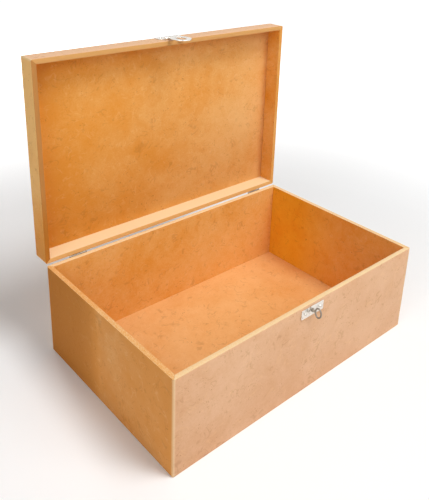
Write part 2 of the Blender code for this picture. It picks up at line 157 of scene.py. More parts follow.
@named
class HingeSizes(bpy.types.PropertyGroup):
    sheet: length("Thickness of a leaf", 0.0005)
    pin_radius: length("Radius of the pin", 0.0005)
    clearance: length("Play between the pin and its knuckles", 0.00015)
    knuckle_gap: length("Gap between two knuckles", 0.0003)
    slit: length("Gap between a knuckle's end and its leaf", 0.0002)
    leaf_corner: length("Rounding of a leaf's corners", 0.0015)
    edge_break: length("Rounding of the sheet's edges", 0.00012)
    tongue: length("Length of the tongue that stops the open lid", 0.0032)
    knuckles: bpy.props.IntProperty(
        description="Knuckles of one hinge, both leaves together", default=5, min=3)


@named
class HaspSizes(bpy.types.PropertyGroup):
    sheet: length("Thickness of the plate and the flap", 0.001)
    pin_radius: length("Radius of the pin", 0.0008)
    plate_knuckle: length("Width of each knuckle on the plate", 0.007)
    flap_knuckle: length("Width of the flap's knuckle", 0.010)
    plate_corner: length("Rounding of the plates' corners", 0.0015)
    neck: length("Distance from the pin to where the oval begins", 0.003)
    top_band: length("Metal between the neck and the slot", 0.0055)
    side_band: length("Metal beside the slot", 0.008)
    tip_band: length("Metal below the slot", 0.006)
    edge_break: length("Rounding of the flap's edges", 0.00028)
    wire_radius: length("Radius of the ring's wire", 0.001)
    ring_height: length("Height of the oval ring", 0.014)
    ring_depth: length("How far the oval ring reaches from its stem", 0.0102)
    stem_radius: length("Radius of the ring's stem", 0.0016)
    collar_radius: length("Radius of the stem's collar", 0.0024)
    collar_height: length("Height of the stem's collar", 0.0008)
    rivet_radius: length("Radius of the stem inside the plate", 0.0011)


@named
class ScrewSizes(bpy.types.PropertyGroup):
    head_radius: length("Radius of a screw's head", 0.00175)
    head_height: length("Height of a screw's head", 0.0011)
    shank_radius: length("Radius of a screw's shank", 0.00075)
    shank_length: length("Length of a screw below its head", 0.0045)
    cross_width: length("Width of each arm of the cross recess", 0.00045)
    cross_length: length("Length of each arm of the cross recess", 0.0021)
    cross_depth: length("Depth of the cross recess", 0.0006)


@named
class MetalFinish(bpy.types.PropertyGroup):
    bright: colour("Colour of the clean nickel plate", (0.80, 0.765, 0.705))
    # This colour is also the painted dark reflection that darkens the hinge leaves and the ring all
    # over
    dull: colour("Colour of the nickel plate where it has dulled", (0.30, 0.262, 0.22))
    roughness: share("Roughness of the cleanest plate", 0.24)
    dulling: share("How much rougher the plate is where it has dulled", 0.22)
    bump: length("Height of the sheet's fine unevenness", 0.00002)


@named
class StageSettings(bpy.types.PropertyGroup):
    ambient: share("Strength of the white room round the box", 0.22, 2.0)
    key_power: power("Power of the large light in front, to the right", 11.0)
    top_power: power("Power of the large light overhead", 27.5)
    fill_power: power("Power of the large light in front, to the left", 7.2)
    rear_power: power("Power of the low light behind the box", 13.0)
    floor_tone: share("How pale the floor is", 0.95)
    floor_lift: share("Light added to the floor where the camera sees it", 0.8)
    floor_fade: length("Distance from the box at which the floor gets that light", 0.95)
    floor_size: length("Length of the square floor's side", 12.0)
    focal_length: length("Focal length of the camera's lens", 0.045334)


def chosen(group):
    """The settings of one group, as the user has them."""
    return getattr(bpy.context.scene, f"mdf_box_{group}")


# Node trees

class Signal:
    """A socket of a node tree. Sums and products of signals add Math nodes to the tree."""

    def __init__(self, tree, socket=None):
        self.tree = tree
        self.socket = socket

    def node(self, kind, inputs=None, settings=None, output=0):
        """Adds a node, changes its settings, and then gives its inputs values or signals."""
        made = self.tree.nodes.new(kind)
        for name, value in (settings or {}).items():
            setattr(made, name, value)
        self.feed(made, inputs or {})
        return Signal(self.tree, made.outputs[output])

    def feed(self, node, inputs):
        """Gives a node's inputs values or signals."""
        for name, value in inputs.items():
            if isinstance(value, Signal):
                self.tree.links.new(value.socket, node.inputs[name])
            else:
                node.inputs[name].default_value = value

    def other(self, output):
        """Another output of this signal's node."""
        return Signal(self.tree, self.socket.node.outputs[output])

    def math(self, operation, *values):
        return self.node("ShaderNodeMath", dict(enumerate(values)), {"operation": operation})

    def __add__(self, value):
        return self.math("ADD", self, value)

    def __sub__(self, value):
        return self.math("SUBTRACT", self, value)

    def __rsub__(self, value):
        return self.math("SUBTRACT", value, self)

    def __mul__(self, value):
        return self.math("MULTIPLY", self, value)

    def __truediv__(self, value):
        return self.math("DIVIDE", self, value)

    def __abs__(self):
        return self.math("ABSOLUTE", self)

    __radd__ = __add__
    __rmul__ = __mul__

    def rise(self, low, high):
        """Goes smoothly from 0 to 1 while this signal goes from low to high."""
        return self.node(
            "ShaderNodeMapRange", {"Value": self, "From Min": low, "From Max": high},
            {"interpolation_type": "SMOOTHSTEP"})

    def vector(self, operation, value):
        return self.node("ShaderNodeVectorMath", {0: self, 1: value}, {"operation": operation})

    def combined(self, *axes):
        return self.node("ShaderNodeCombineXYZ", dict(enumerate(axes)))

    def separated(self):
        """This vector's X. Its Y and Z are other outputs of the same node."""
        return self.node("ShaderNodeSeparateXYZ", {0: self})

    def attribute(self, name, output="Fac"):
        """What the mesh stores under a name."""
        return self.node("ShaderNodeAttribute", None, {"attribute_name": name}, output)

    def noise(self, scale, detail=2.0, roughness=0.5, distortion=0.0):
        """Cloudy noise about 0, from about -0.5 to 0.5, with this signal as its place."""
        cloud = self.node(
            "ShaderNodeTexNoise",
            {"Vector": self, "Scale": scale, "Detail": detail, "Roughness": roughness,
             "Distortion": distortion})
        return cloud - 0.5

    def mixed(self, first, second):
        """Goes from the first colour to the second with this signal."""
        return self.node(
            "ShaderNodeMix", {0: self, 6: first, 7: second}, {"data_type": "RGBA"}, output=2)


def opaque(tone):
    return (*tone, 1.0)


def new_material(name):
    """A new material, and its Principled shader."""
    material = bpy.data.materials.new(name)
    material.use_nodes = True
    return material, material.node_tree.nodes["Principled BSDF"]


# The step in the noise from one board's sheet to the next
sheet_step = (0.9, 0.5, 0.7)
# Distances from a corner at which a mark begins and at which it is at its strongest
pale_corner = (0.0034, 0.0012)
mitred_corner = (0.0064, 0.006)
mitre_line = (0.0004, 0.0001)
# What the deepest orange keeps of a board's red, green and blue. The deep orange is partly the
# boards' own colour and partly painted shade, as towards the right wall's back inner corner
deep_orange_and_shade_share = (1.02, 0.93, 0.08)


def mdf_material():
    """Sanded MDF: clouds, pale curly fibres and short dark ones, and paler cut edges."""
    finish = chosen("board_finish")
    material, shader = new_material("raw_mdf")
    start = Signal(material.node_tree)
    place = start.attribute("place", "Vector")
    tone = start.attribute("tone")
    raw = start.attribute("raw")
    sheet = start.attribute("sheet")
    spot = place.vector("ADD", start.combined(*[sheet * step for step in sheet_step]))

    clouds = spot.noise(12, 2, 0.5, 0.4) * 0.8 + spot.noise(50, 3, 0.55, 0.7) * 0.45
    grain = spot.noise(430, 3, 0.6)
    curl = 1 - abs(spot.noise(52, 1, 0.5, 1.3)).rise(0.0, 0.05)
    curl = curl * spot.noise(74, 1).rise(0.02, 0.12)
    vein = 1 - abs(spot.noise(44, 1, 0.5, 1.6)).rise(0.0, 0.045)
    vein = vein * (0 - spot.noise(66, 1)).rise(0.03, 0.13)
    fleck = spot.noise(300, 1, 0.5, 1.8).rise(0.14, 0.22) * spot.noise(90, 1).rise(-0.02, 0.1)
    fleck = fleck.math("MAXIMUM", fleck, vein * 0.5)

    depth = (clouds * finish.cloud_share + grain * 0.45 + tone * 0.55 + 0.5).rise(0.0, 1.0)
    sanded = depth.mixed(opaque(finish.sanded_deep), opaque(finish.sanded_pale))
    pressed = depth.mixed(opaque(finish.raw_deep), opaque(finish.raw_pale))
    base = raw.mixed(sanded, pressed)
    base = (curl * finish.wisp_share).mixed(base, opaque(finish.wisp))
    base = (fleck * finish.fleck_share).mixed(base, opaque(finish.fleck))
    # Low tone darkens towards the fleck colour; on the left wall this is partly stain and partly
    # painted shade
    base = ((0 - tone).rise(0.3, 2.4) * 0.8).mixed(base, opaque(finish.fleck))
    # Deeper orange along the board: partly its own colour, partly painted shade towards the right
    # wall's back inner corner
    base = start.attribute("rich").mixed(base, base.vector("MULTIPLY", deep_orange_and_shade_share))

    across = place.separated()
    from_end = half_length - abs(across)
    from_face = half_depth - abs(across.other("Y"))
    from_corner = from_end.math("MAXIMUM", from_end, from_face)
    # Paler towards the tray's upright outer corners
    base = (from_corner.rise(*pale_corner) * 0.55).mixed(base, opaque(finish.edge))

    speckle = spot.noise(800, 2, 0.7) + raw * 0.7 - tone.rise(-1.0, 1.5) * 0.7 + 0.25
    rim = speckle.rise(-0.2, 0.55).mixed(opaque(finish.edge), pressed)
    rim = ((raw - 1.0).rise(0.0, 2.0) * 0.9).mixed(rim, opaque(finish.fleck))
    mitre = abs(from_end - from_face).rise(*mitre_line) * from_corner.rise(*mitred_corner)
    rim = (mitre * 0.55).mixed(rim, opaque(finish.fleck))
    base = start.attribute("cut").mixed(base, rim)

    height = grain * 0.6 + clouds * 0.2 + curl * 0.3 - fleck * 0.4
    normal = start.node(
        "ShaderNodeBump", {"Strength": 0.5, "Distance": finish.bump, "Height": height})
    start.feed(shader, {
        "Base Color": base, "Roughness": grain * 0.25 + fleck * 0.08 + finish.roughness,
        "Normal": normal, "Specular IOR Level": 0.3})
    return material


def nickel_material():
    """Thin nickel plate: bright, a little cloudy, and dulled in patches. Marked pieces are darker
    all over: a painted dark reflection.
    """
    finish = chosen("metal_finish")
    material, shader = new_material("nickel_plate")
    start = Signal(material.node_tree)
    place = start.node("ShaderNodeTexCoord", output="Object")
    # Dull patches at random, plus marked pieces darkened all over: painted dark reflection of
    # surroundings that the white room lacks
    dull_and_reflection_mask = (place.noise(210, 3, 0.6, 0.5) + start.attribute("wear") * 0.45).rise(0.02, 0.36)
    fine = place.noise(1900, 2, 0.6)
    base = dull_and_reflection_mask.mixed(opaque(finish.bright), opaque(finish.dull))
    normal = start.node(
        "ShaderNodeBump",
        {"Strength": 0.6, "Distance": finish.bump, "Height": fine + dull_and_reflection_mask * 0.4})
    start.feed(shader, {
        "Base Color": base, "Roughness": dull_and_reflection_mask * finish.dulling + fine * 0.12 + finish.roughness,
        "Normal": normal, "Metallic": 1.0})
    return material


def finish_of(slot):
    """The material of one of the record's slots, made when it is first asked for."""
    makers = {"mdf": ("raw_mdf", mdf_material), "nickel": ("nickel_plate", nickel_material)}
    name, maker = makers[slot]
    return bpy.data.materials.get(name) or maker()


# Finishing a piece

crease_angle = math.radians(32)


def bm_to_mesh(name, bm):
    """Writes a bmesh to a new mesh, and frees it."""
    mesh = bpy.data.meshes.new(name)
    bm.to_mesh(mesh)
    bm.free()
    return mesh


def solid_mesh(name, bm):
    """Closes a bmesh into a mesh whose faces point outwards."""
    bmesh.ops.remove_doubles(bm, verts=bm.verts, dist=tiny)
    bmesh.ops.dissolve_degenerate(bm, dist=tiny, edges=bm.edges)
    bmesh.ops.recalc_face_normals(bm, faces=bm.faces)
    return bm_to_mesh(name, bm)


def plain_mesh(obj):
    """The mesh that an object's modifiers make. The object itself is removed."""
    bpy.context.view_layer.update()
    evaluated = obj.evaluated_get(bpy.context.evaluated_depsgraph_get())
    mesh = bpy.data.meshes.new_from_object(evaluated)
    bpy.data.objects.remove(obj)
    return mesh


def blank_object(name, data):
    obj = bpy.data.objects.new(name, data)
    bpy.context.scene.collection.objects.link(obj)
    return obj


def mark_worn(mesh):
    """Marks a piece to be darkened all over, a painted dark reflection of surroundings that the
    white room lacks. The other hardware stores nothing.
    """
    values = [1.0] * len(mesh.vertices)
    mesh.attributes.new("wear", "FLOAT", "POINT").data.foreach_set("value", values)


def add_piece(name, mesh, body, slot, nodes):
    """Shows a mesh as a piece of one body, in place of the nodes that it stands for."""
    if body in ("lid", "hasp"):
        mesh.transform(opened)
    mesh.materials.clear()
    mesh.materials.append(finish_of(slot))
    mesh.shade_smooth()
    mesh.set_sharp_from_angle(angle=crease_angle)
    mesh.name = name
    piece = blank_object(name, mesh)
    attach(piece, body)
    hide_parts(*nodes)


# Boards

# The boards of a tray, in the order in which they are turned to their sides
sides = ("front", "right", "back", "left")


def arc(centre, radius, start, end, steps):
    """Points on a circle from one angle to another, in degrees."""
    turns = [math.radians(start + (end - start) * step / steps) for step in range(steps + 1)]
    y, z = centre
    return [(y + radius * math.cos(turn), z + radius * math.sin(turn)) for turn in turns]


def board_section(thickness, height, seat):
    """A board's section, as (depth from its outer face, height above its rebated side) points."""
    sizes = chosen("board_sizes")
    face = sizes.face_easing
    rim = sizes.rim_easing
    shelf = thickness - sizes.rebate_depth
    face_steps = 5
    rim_steps = 4
    return (
        arc((face, face), face, 270, 180, face_steps)
        + arc((rim, height - rim), rim, 180, 90, rim_steps)
        + arc((thickness - rim, height - rim), rim, 90, 0, rim_steps)
        + [(thickness, seat), (shelf, seat), (shelf, 0.0)]
    )


def board_mesh(name, along, across, thickness, section):
    """A board whose two ends are mitred and share the tray's rounded corners."""
    sizes = chosen("board_sizes")
    radius = sizes.corner_radius
    corner_steps = 8
    straight_steps = 12
    turns = [math.radians(45) * step / corner_steps for step in range(corner_steps + 1)]
    spans = [step / straight_steps for step in range(1 - straight_steps, straight_steps)]
    stations = [(-1, turn, 1.0) for turn in reversed(turns)]
    stations += [(math.copysign(1, span), 0.0, abs(span)) for span in spans]
    stations += [(1, turn, 1.0) for turn in turns]
    bm = bmesh.new()
    rings = []
    for sign, turn, span in stations:
        reach = span * (along - thickness - radius)
        if span == 1:
            reach = along - radius + radius * math.sin(turn)
        push = radius * (1 - math.cos(turn))
        ring = []
        for depth, z in section:
            # Only the outer face and its easing follow the rounded corner
            inward = depth + push if depth < thickness / 3 else depth
            x = min(reach, along - inward - sizes.mitre_gap / math.sqrt(2))
            ring.append(bm.verts.new((sign * x, inward - across, z)))
        rings.append(ring)
    for first, second in zip(rings, rings[1:]):
        for step in range(len(section)):
            after = (step + 1) % len(section)
            bm.faces.new((first[step], first[after], second[after], second[step]))
    bm.faces.new(rings[0])
    bm.faces.new(reversed(rings[-1]))
    return solid_mesh(name, bm)


def panel_mesh(name, low, high):
    """A flat panel with eased edges."""
    sizes = chosen("board_sizes")
    bm = bmesh.new()
    bmesh.ops.create_cube(bm, size=1.0)
    bmesh.ops.scale(bm, vec=high - low, verts=bm.verts)
    bmesh.ops.translate(bm, vec=(high + low) / 2, verts=bm.verts)
    bmesh.ops.bevel(
        bm, geom=bm.edges, offset=sizes.panel_easing, segments=2, profile=0.5, affect="EDGES")
    return solid_mesh(name, bm)


def value_at(stops, share_along):
    """The value at a share of a board's length, between stops given as (share, value)."""
    for (low, first), (high, second) in zip(stops, stops[1:]):
        if low <= share_along <= high:
            return first + (second - first) * (share_along - low) / (high - low)
    return stops[-1][1]


def mark_board(
        mesh, sheet, cut_faces_level, outward, tone, outside, inside, cut=0.0,
        inside_is_cut=False, rich=((0.0, 0.0), (1.0, 0.0))):
    """Stores what the board's material reads on each point and face.

    sheet is the number of the sheet it was cut from. tone and the deep orange are stops along the
    board: how pale it is, and how deep its orange is. The deep orange is partly the board's own
    colour and partly painted shade, as in the right wall's back inner corner. outside, inside and
    cut tell how raw its outer, inner and cut faces are.
    """
    run = Vector((1, 0, 0)) if outward.z else Vector((-outward.y, outward.x, 0))
    spans = [run.dot(vert.co) for vert in mesh.vertices]
    start = min(spans)
    whole = max(spans) - start
    shares = [(span - start) / whole for span in spans]
    level = [abs(face.normal.z) > 0.5 for face in mesh.polygons]
    outer = [face.normal.dot(outward) > 0 for face in mesh.polygons]
    marks = {
        "tone": ("POINT", [value_at(tone, share_along) for share_along in shares]),
        "rich": ("POINT", [value_at(rich, share_along) for share_along in shares]),
        "sheet": ("FACE", [sheet] * len(mesh.polygons)),
        "raw": ("FACE", [
            cut if flat == cut_faces_level else outside if out else inside
            for flat, out in zip(level, outer)]),
        "cut": ("FACE", [
            float(flat == cut_faces_level or (inside_is_cut and not out))
            for flat, out in zip(level, outer)]),
    }
    for name, (domain, values) in marks.items():
        mesh.attributes.new(name, "FLOAT", domain).data.foreach_set("value", values)
    places = [axis for vert in mesh.vertices for axis in vert.co]
    mesh.attributes.new("place", "FLOAT_VECTOR", "POINT").data.foreach_set("vector", places)


def add_tray(body, naming, board_box, rebate_at_top, panel, panel_box, looks):
    """Four mitred boards and the panel that lies in their rebate.

    naming turns a side into its node's name. looks gives what mark_board stores on each board.
    """
    sizes = chosen("board_sizes")
    # The lid's boards are cut from other sheets than the body's
    sheet = float(len(looks)) if rebate_at_top else 0.0
    low_z, high_z = [corner[2] for corner in board_box]
    thickness = board_box[1][1] - board_box[0][1]
    panel_thickness = panel_box[1][2] - panel_box[0][2]
    section = board_section(thickness, high_z - low_z, panel_thickness + sizes.panel_gap)
    if rebate_at_top:
        section = [(depth, high_z - z) for depth, z in section]
    else:
        section = [(depth, low_z + z) for depth, z in section]
    for number, side in enumerate(sides):
        node = naming.format(side)
        long_side = side in ("front", "back")
        along = half_length if long_side else half_depth
        across = half_depth if long_side else half_length
        mesh = board_mesh(node, along, across, thickness, section)
        turn = Matrix.Rotation(math.radians(90 * number), 4, "Z")
        mesh.transform(turn)
        mark_board(mesh, sheet + number, True, turn @ Vector((0, -1, 0)), **looks[side])
        add_piece(f"{node}_board", mesh, body, "mdf", [node])
    inset = thickness - sizes.rebate_depth + sizes.panel_gap
    low = Vector((inset - half_length, inset - half_depth, panel_box[0][2]))
    high = Vector((half_length - inset, half_depth - inset, panel_box[1][2]))
    mesh = panel_mesh(panel, low, high)
    upward = Vector((0, 0, 1 if rebate_at_top else -1))
    mark_board(mesh, sheet + len(sides), False, upward, **looks["panel"])
    add_piece(f"{panel}_board", mesh, body, "mdf", [panel])


# Rolled sheet metal

roll_steps = 26


def roll_path(bore, sheet, sweep):
    """The middle line of a knuckle, as (side, up) points about its pin, from beside the plate."""
    middle = bore + sheet / 2
    turns = [sweep * step / roll_steps for step in range(roll_steps + 1)]
    return [(-middle * math.cos(turn), -middle * math.sin(turn)) for turn in turns]


def closed_roll(bore, sheet, slit):
    """A knuckle that closes to a narrow slit at its own plate."""
    return roll_path(bore, sheet, math.radians(270) + math.asin((bore - slit) / (bore + sheet)))


def stop_roll(bore, sheet, slit, tongue):
    """A knuckle that leaves the pin as a level tongue, on which the open lid's leaf rests."""
    drop = bore - slit - sheet / 2
    path = roll_path(bore, sheet, math.radians(180) - math.asin(drop / (bore + sheet / 2)))
    path.append((path[-1][0] + tongue, path[-1][1]))
    return path


def extend_edges(bm, edges, points):
    """Extrudes edges that run along X through points given as (y, z)."""
    for y, z in points:
        made = bmesh.ops.extrude_edge_only(bm, edges=edges)["geom"]
        verts = [item for item in made if isinstance(item, bmesh.types.BMVert)]
        for vert in verts:
            vert.co.y = y
            vert.co.z = z
        edges = [
            item for item in made
            if isinstance(item, bmesh.types.BMEdge) and all(end in verts for end in item.verts)
        ]
    return edges


def sheet_mesh(name, bm, sheet, edge_break):
    """Thickens a middle surface to both sides and rounds its edges."""
    obj = blank_object(name, bm_to_mesh(name, bm))
    thicken = obj.modifiers.new("sheet", "SOLIDIFY")
    thicken.thickness = sheet
    thicken.offset = 0.0
    thicken.use_even_offset = True
    rounding = obj.modifiers.new("edges", "BEVEL")
    rounding.width = edge_break
    rounding.segments = 3
    rounding.limit_method = "ANGLE"
    rounding.angle_limit = math.radians(50)
    return plain_mesh(obj)


def rolled_plate(centre, stations, rolls, reach, root, middle, side, up, corner):
    """The middle surface of a plate with knuckles, as a bmesh.

    Strips of the plate lie between stations along X. Each has a knuckle's path or None. The plate
    stands on one side of the pin along Y, middle away from it, and goes up or down from root to
    reach.
    """
    bm = bmesh.new()
    y0 = centre[1] + side * middle
    far = [bm.verts.new((centre[0] + x, y0, centre[2] + up * reach)) for x in stations]
    top = [bm.edges.new(pair) for pair in zip(far, far[1:])]
    roots = extend_edges(bm, top, [(y0, centre[2] + up * root)])
    roots.sort(key=lambda edge: edge.verts[0].co.x + edge.verts[1].co.x)
    for edge, path in zip(roots, rolls):
        if path is not None:
            points = [(centre[1] - side * out, centre[2] + up * along) for out, along in path]
            extend_edges(bm, [edge], points)
    bmesh.ops.bevel(
        bm, geom=[far[0], far[-1]], offset=corner, segments=8, profile=0.5, affect="VERTICES")
    return bm


def pin_mesh(name, centre, radius, half):
    """A pin along X with domed ends."""
    steps = 5
    dome = radius * 0.4
    rings = []
    for step in range(steps + 1):
        turn = math.radians(90) * step / steps
        rings.append((half - dome * (1 - math.sin(turn)), radius * math.cos(turn)))
    profile = [(-x, r) for x, r in reversed(rings)] + rings
    place = Matrix.Translation(centre) @ Matrix.Rotation(math.radians(90), 4, "Y")
    return turned_mesh(name, profile, place)


def turned_mesh(name, profile, place):
    """A round solid turned about Z from (z, r) points, then moved to its place."""
    bm = bmesh.new()
    line = [bm.verts.new((max(radius, 0.0), 0, z)) for z, radius in profile]
    edges = [bm.edges.new(pair) for pair in zip(line, line[1:])]
    bmesh.ops.spin(
        bm, geom=line + edges, cent=(0, 0, 0), axis=(0, 0, 1), angle=math.radians(360),
        steps=48, use_merge=True)
    mesh = solid_mesh(name, bm)
    mesh.transform(place)
    return mesh


# Hinges

def knuckle_stations(width, knuckles, gap, first):
    """Where a leaf's strips begin and end. first tells whether the outermost knuckle is its own."""
    shift = -gap / 2 if first else gap / 2
    stations = [-width / 2]
    for joint in range(1, knuckles):
        stations.append(-width / 2 + joint * width / knuckles + shift)
        shift = -shift
    return stations + [width / 2]


def add_hinge(tag):
    sizes = chosen("hinge_sizes")
    box_leaf = f"hinge_box_leaf_{tag}"
    lid_leaf = f"hinge_lid_leaf_{tag}"
    low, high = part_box(box_leaf)
    width = high[0] - low[0]
    centre = Vector(((high[0] + low[0]) / 2, hinge_axis.y, hinge_axis.z))
    reach = hinge_axis.z - low[2]
    bore = sizes.pin_radius + sizes.clearance
    middle = bore + sizes.sheet / 2
    root = bore + sizes.sheet + sizes.knuckle_gap
    full = closed_roll(bore, sizes.sheet, sizes.slit)
    stop = stop_roll(bore, sizes.sheet, sizes.slit, sizes.tongue)
    for node, body, up, own_first in ((box_leaf, "box", -1, True), (lid_leaf, "lid", 1, False)):
        rolls = [
            full if (knuckle % 2 == 0) == own_first else None for knuckle in range(sizes.knuckles)]
        if own_first:
            rolls[sizes.knuckles // 2] = stop
        stations = knuckle_stations(width, sizes.knuckles, sizes.knuckle_gap, own_first)
        bm = rolled_plate(
            centre, stations, rolls, reach, root, middle, side=-1, up=up, corner=sizes.leaf_corner)
        mesh = sheet_mesh(node, bm, sizes.sheet, sizes.edge_break)
        mark_worn(mesh)
        add_piece(f"{node}_sheet", mesh, body, "nickel", [node])
    pin = f"hinge_pin_{tag}"
    add_piece(
        f"{pin}_rod", pin_mesh(pin, centre, sizes.pin_radius, width / 2), "box", "nickel", [pin])


# Hasp

def add_hasp_plate():
    sizes = chosen("hasp_sizes")
    hinge = chosen("hinge_sizes")
    high = closed_box("hasp_plate")[1]
    bore = sizes.pin_radius + hinge.clearance
    inner = sizes.flap_knuckle / 2 + hinge.knuckle_gap
    outer = inner + sizes.plate_knuckle
    edge = high[0]
    centre = (0, hasp_axis.y, hasp_axis.z)
    roll = closed_roll(bore, sizes.sheet, hinge.slit)
    bm = rolled_plate(
        centre, stations=[-edge, -outer, -inner, inner, outer, edge],
        rolls=[None, roll, None, roll, None], reach=high[2] - hasp_axis.z,
        root=bore + sizes.sheet + hinge.knuckle_gap, middle=bore + sizes.sheet / 2,
        side=1, up=1, corner=sizes.plate_corner)
    mesh = sheet_mesh("hasp_plate", bm, sizes.sheet, hinge.edge_break)
    add_piece("hasp_plate_sheet", mesh, "lid", "nickel", ["hasp_plate"])
    mesh = pin_mesh("hasp_pin", centre, sizes.pin_radius, outer)
    add_piece("hasp_pin_rod", mesh, "lid", "nickel", ["hasp_pin"])


def slot_point(direction, half_width, half_straight):
    """Where a ray from the middle of a round-ended slot meets its edge."""
    across, along = abs(direction[0]), abs(direction[1])
    if across * half_straight >= along * half_width:
        scale = half_width / across
    else:
        total = across * across + along * along
        inner = along * half_straight
        rest = half_straight * half_straight - half_width * half_width
        scale = (inner + math.sqrt(inner * inner - total * rest)) / total
    return direction[0] * scale, direction[1] * scale


def add_flap():
    """The slotted flap: an oval of sheet that narrows to a neck and rolls round the hasp's pin."""
    sizes = chosen("hasp_sizes")
    hinge = chosen("hinge_sizes")
    low, high = closed_box("hasp_flap")
    flap_length = hasp_axis.z - low[2]
    half_width = high[0]
    bore = sizes.pin_radius + hinge.clearance
    y = hasp_axis.y - bore - sizes.sheet / 2
    neck = sizes.flap_knuckle / 2
    start = math.asin(neck / half_width)
    half_oval = (flap_length - sizes.neck) / (1 + math.cos(start))
    outline = []
    oval_steps = 88
    for step in range(oval_steps + 1):
        turn = start + (2 * math.pi - 2 * start) * step / oval_steps
        drop = flap_length - half_oval - half_oval * math.cos(turn)
        outline.append((half_width * math.sin(turn), drop))
    neck_steps = 6
    outline += [(-neck + 2 * neck * step / neck_steps, sizes.neck) for step in range(1, neck_steps)]
    slot_start = sizes.neck + sizes.top_band
    slot_end = flap_length - sizes.tip_band
    slot_half = half_width - sizes.side_band
    slot_middle = (slot_start + slot_end) / 2
    half_straight = (slot_end - slot_start) / 2 - slot_half
    bm = bmesh.new()
    outer = []
    inner = []
    for x, drop in outline:
        side, along = slot_point((x, drop - slot_middle), slot_half, half_straight)
        outer.append(bm.verts.new((x, y, hasp_axis.z - drop)))
        inner.append(bm.verts.new((side, y, hasp_axis.z - slot_middle - along)))
    count = len(outline)
    for step in range(count):
        after = (step + 1) % count
        bm.faces.new((outer[step], outer[after], inner[after], inner[step]))
    neck_verts = outer[oval_steps:] + outer[:1]
    neck_edges = [
        edge for edge in bm.edges if edge.verts[0] in neck_verts and edge.verts[1] in neck_verts
    ]
    roll = closed_roll(bore, sizes.sheet, hinge.slit)
    extend_edges(bm, neck_edges, [(hasp_axis.y + out, hasp_axis.z - up) for out, up in roll])
    mesh = sheet_mesh("hasp_flap", bm, sizes.sheet, sizes.edge_break)
    add_piece("hasp_flap_sheet", mesh, "hasp", "nickel", ["hasp_flap"])


# Staple

def add_staple_plate():
    sizes = chosen("hasp_sizes")
    hinge = chosen("hinge_sizes")
    low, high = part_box("staple_plate")
    bm = bmesh.new()
    y = (low[1] + high[1]) / 2
    corners = [(low[0], low[2]), (high[0], low[2]), (high[0], high[2]), (low[0], high[2])]
    face = bm.faces.new([bm.verts.new((x, y, z)) for x, z in corners])
    bmesh.ops.bevel(
        bm, geom=list(face.verts), offset=sizes.plate_corner, segments=8, profile=0.5,
        affect="VERTICES")
    mesh = sheet_mesh("staple_plate", bm, high[1] - low[1], hinge.edge_break)
    add_piece("staple_plate_sheet", mesh, "box", "nickel", ["staple_plate"])


def new_tree(name, sizes):
    """A geometry node tree with named size inputs. Returns it and its inputs as signals by name."""
    tree = bpy.data.node_groups.new(name, "GeometryNodeTree")
    tree.interface.new_socket("Geometry", in_out="INPUT", socket_type="NodeSocketGeometry")
    for label, value in sizes.items():
        kind = "NodeSocketInt" if isinstance(value, int) else "NodeSocketFloat"
        tree.interface.new_socket(label, in_out="INPUT", socket_type=kind)
    tree.interface.new_socket("Material", in_out="INPUT", socket_type="NodeSocketMaterial")
    tree.interface.new_socket("Geometry", in_out="OUTPUT", socket_type="NodeSocketGeometry")
    group = tree.nodes.new("NodeGroupInput")
    signals = {socket.name: Signal(tree, socket) for socket in group.outputs if socket.name}
    return tree, signals


def close_tree(tree, result, signals):
    """Ends a tree in Realize Instances and Set Material."""
    result = result.node("GeometryNodeRealizeInstances", {"Geometry": result})
    result = result.node(
        "GeometryNodeSetMaterial", {"Geometry": result, "Material": signals["Material"]})
    end = tree.nodes.new("NodeGroupOutput")
    tree.links.new(result.socket, end.inputs["Geometry"])


def grown_mesh(name, mesh, tree, sizes):
    """What a geometry node tree makes of a mesh, with its inputs set by their identifiers."""
    obj = blank_object(name, mesh)
    grow = obj.modifiers.new(tree.name, "NODES")
    grow.node_group = tree
    values = dict(sizes, Material=finish_of("nickel"))
    for socket in tree.interface.items_tree:
        if socket.in_out == "INPUT" and socket.name in values:
            grow[socket.identifier] = values[socket.name]
    return plain_mesh(obj)


def ring_wire_mesh(sizes):
    """The oval ring's wire, swept along its path, about its own centre and in the YZ plane."""
    values = {
        "Half depth": sizes.ring_depth / 2 - sizes.wire_radius,
        "Half height": sizes.ring_height / 2 - sizes.wire_radius,
        "Wire radius": sizes.wire_radius,
        "Path points": 72,
        "Wire points": 24,
    }
    tree, signals = new_tree("ring wire", values)
    start = Signal(tree)
    path = start.node(
        "GeometryNodeCurvePrimitiveCircle", {"Resolution": signals["Path points"], "Radius": 1.0})
    wire = start.node(
        "GeometryNodeCurvePrimitiveCircle",
        {"Resolution": signals["Wire points"], "Radius": signals["Wire radius"]})
    at = start.node("GeometryNodeInputPosition").separated()
    oval = start.combined(0.0, at * signals["Half depth"], at.other("Y") * signals["Half height"])
    path = start.node("GeometryNodeSetPosition", {"Geometry": path, "Position": oval})
    swept = start.node("GeometryNodeCurveToMesh", {"Curve": path, "Profile Curve": wire})
    close_tree(tree, swept, signals)
    return grown_mesh("ring_wire", bpy.data.meshes.new("ring_wire"), tree, values)


